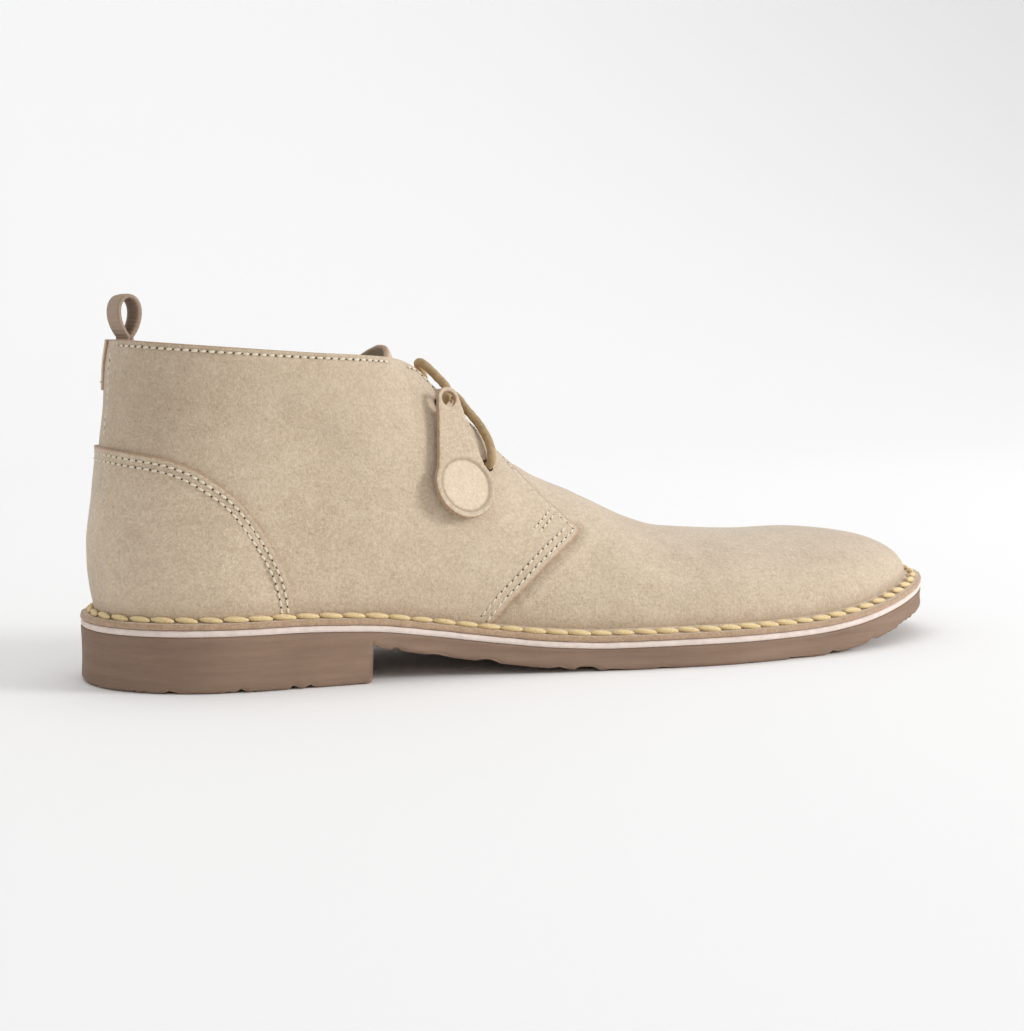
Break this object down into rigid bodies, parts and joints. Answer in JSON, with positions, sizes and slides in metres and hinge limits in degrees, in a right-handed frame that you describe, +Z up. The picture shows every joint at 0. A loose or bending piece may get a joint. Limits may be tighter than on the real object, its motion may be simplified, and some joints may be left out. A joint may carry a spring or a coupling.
{
  "type": "chukka boot",
  "caption": "Ankle-high suede chukka boot for the right foot, stitched down to a rubber unit sole, with a round lace, a pull loop and a hanging leather fob.",
  "frame": {"origin": "centre of the bounding box at floor level, under the arch of the sole", "axes": "+X to the toe, +Y to the inner side of the foot, +Z up from the floor"},
  "size_m": [0.3, 0.0992, 0.1185],
  "materials": {
    "suede": "napped suede",
    "sock_leather": "smooth",
    "sole_rubber": "matt",
    "midsole_layer": "matt",
    "tape": "ribbed weave",
    "lace_cord": "waxed cord"
  },
  "bodies": {
    "root": {"outsole": "sole_rubber", "midsole": "midsole_layer", "insole": "sock_leather", "upper": "suede", "tongue": "suede", "counter": "suede", "back_tab": "suede", "pull_loop": "tape", "lace_crossing": "lace_cord", "lace_top_bar": "lace_cord", "fob": "suede"}
  },
  "joints": []
}
